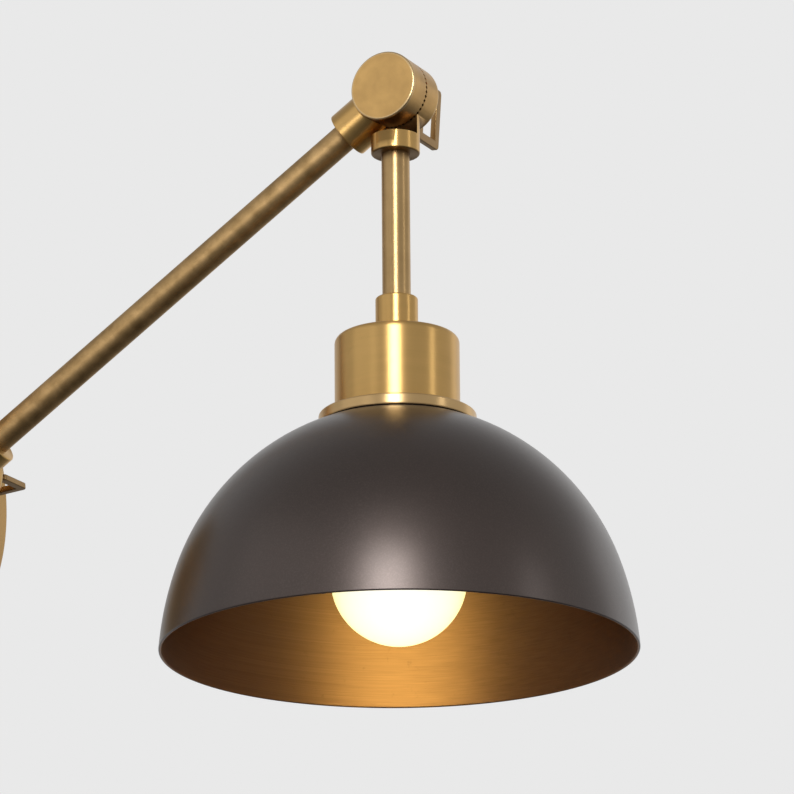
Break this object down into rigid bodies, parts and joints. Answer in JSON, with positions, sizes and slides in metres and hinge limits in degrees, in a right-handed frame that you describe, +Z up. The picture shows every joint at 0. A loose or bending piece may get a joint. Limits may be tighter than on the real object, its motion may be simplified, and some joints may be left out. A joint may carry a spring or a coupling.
{
  "type": "adjustable wall lamp",
  "caption": "Wall lamp with a tilting brass arm on toothed clamp knuckles with loop keys, and a tilting dome shade over a globe bulb.",
  "frame": {"origin": "on the wall, at the middle of the wall plate's back", "axes": "+X out of the wall, +Y to the right as one faces the wall, +Z up"},
  "size_m": [0.3765, 0.21, 0.2758],
  "materials": {
    "satin_brass": "satin brushed brass",
    "zinc_steel": "zinc plated",
    "green_screw": "green lacquer",
    "bronze_paint": "satin dark bronze paint",
    "socket_plastic": "moulded",
    "contact_metal": "bare",
    "bulb_cap_metal": "bare",
    "black_insulator": "vitreous",
    "frosted_glass": "frosted, lit"
  },
  "bodies": {
    "wall_base": {"wall_plate": "satin_brass", "mounting_bracket": "zinc_steel", "plate_screws": "satin_brass", "ground_screw": "green_screw", "wall_knuckle_half": "satin_brass", "stem_washer": "zinc_steel", "stem_nut": "zinc_steel", "lower_key_washer": "satin_brass"},
    "arm": {"arm_lower_knuckle_half": "satin_brass", "arm_tube": "satin_brass", "arm_upper_knuckle_half": "satin_brass"},
    "head": {"head_knuckle_half": "satin_brass", "upper_key_washer": "satin_brass", "drop_tube": "satin_brass", "neck_ferrule": "satin_brass", "cup_nipple": "zinc_steel", "cup_washer": "zinc_steel", "cup_nut": "zinc_steel", "socket_cup": "satin_brass", "shade_flange": "satin_brass", "shade": "bronze_paint", "shade_ring": "bronze_paint", "socket_cap": "socket_plastic", "socket_body": "socket_plastic", "screw_shell": "contact_metal", "socket_contact": "contact_metal", "bulb_tip": "contact_metal", "bulb_insulator": "black_insulator", "bulb_base": "bulb_cap_metal", "bulb_globe": "frosted_glass"},
    "lower_clamp": {"lower_key": "satin_brass", "lower_clamp_screw": "zinc_steel"},
    "upper_clamp": {"upper_key": "satin_brass", "upper_clamp_screw": "zinc_steel"}
  },
  "joints": [
    {"name": "arm_tilt", "type": "hinge", "parent": "wall_base", "child": "arm", "pos_m": [0.042, 0, 0], "axis": [0, -1, 0], "range_deg": [-55, 50]},
    {"name": "head_tilt", "type": "hinge", "parent": "arm", "child": "head", "pos_m": [0.27153, 0, 0.14594], "axis": [0, -1, 0], "range_deg": [0, 120]},
    {"name": "lower_key_turn", "type": "hinge", "parent": "wall_base", "child": "lower_clamp", "pos_m": [0.042, 0, 0], "axis": [0, 1, 0], "range_deg": [-10, 360]},
    {"name": "upper_key_turn", "type": "hinge", "parent": "head", "child": "upper_clamp", "pos_m": [0.27153, 0, 0.14594], "axis": [0, 1, 0], "range_deg": [-10, 360]}
  ]
}
